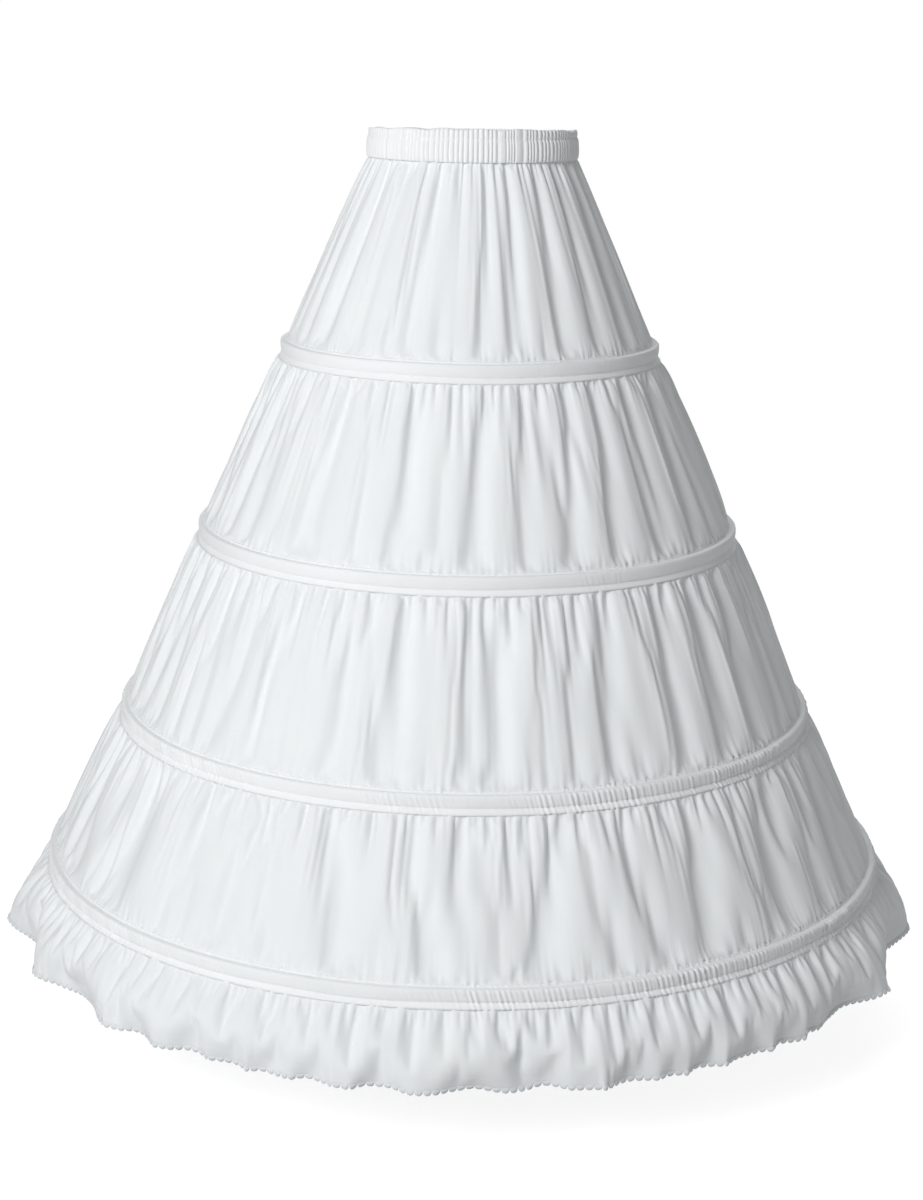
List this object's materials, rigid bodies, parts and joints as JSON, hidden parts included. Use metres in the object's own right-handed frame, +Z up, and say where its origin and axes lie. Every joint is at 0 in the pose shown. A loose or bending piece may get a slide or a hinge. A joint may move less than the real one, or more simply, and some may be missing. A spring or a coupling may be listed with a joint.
{
  "type": "hooped crinoline petticoat",
  "caption": "White cotton crinoline petticoat with gathered tiers held out by sprung steel hoops in sewn casings, an elastic waistband and a scalloped hem ruffle.",
  "frame": {"origin": "on the petticoat's axis at mid height of the waistband", "axes": "+Z up along the axis, the wearer faces -Y, so the hoop joiners lie at the back on +Y"},
  "size_m": [1.0672, 1.0636, 0.9254],
  "materials": {
    "cotton_cloth": "plain woven cotton, matte",
    "cotton_casing": "doubled plain woven cotton, matte",
    "woven_elastic": "woven elastic, matte",
    "hoop_steel": "spring steel with a white plastic coat",
    "joiner_plastic": "moulded, satin",
    "cotton_lace": "scalloped cotton edging, matte"
  },
  "bodies": {
    "root": {"waistband_casing": "cotton_casing", "waist_elastic": "woven_elastic", "tier_1": "cotton_cloth", "hoop_1_casing": "cotton_casing", "hoop_1_steel": "hoop_steel", "hoop_1_joiner": "joiner_plastic", "tier_2": "cotton_cloth", "hoop_2_casing": "cotton_casing", "hoop_2_steel": "hoop_steel", "hoop_2_joiner": "joiner_plastic", "tier_3": "cotton_cloth", "hoop_3_casing": "cotton_casing", "hoop_3_steel": "hoop_steel", "hoop_3_joiner": "joiner_plastic", "tier_4": "cotton_cloth", "hoop_4_casing": "cotton_casing", "hoop_4_steel": "hoop_steel", "hoop_4_joiner": "joiner_plastic", "ruffle": "cotton_cloth", "scalloped_edging": "cotton_lace"}
  },
  "joints": []
}
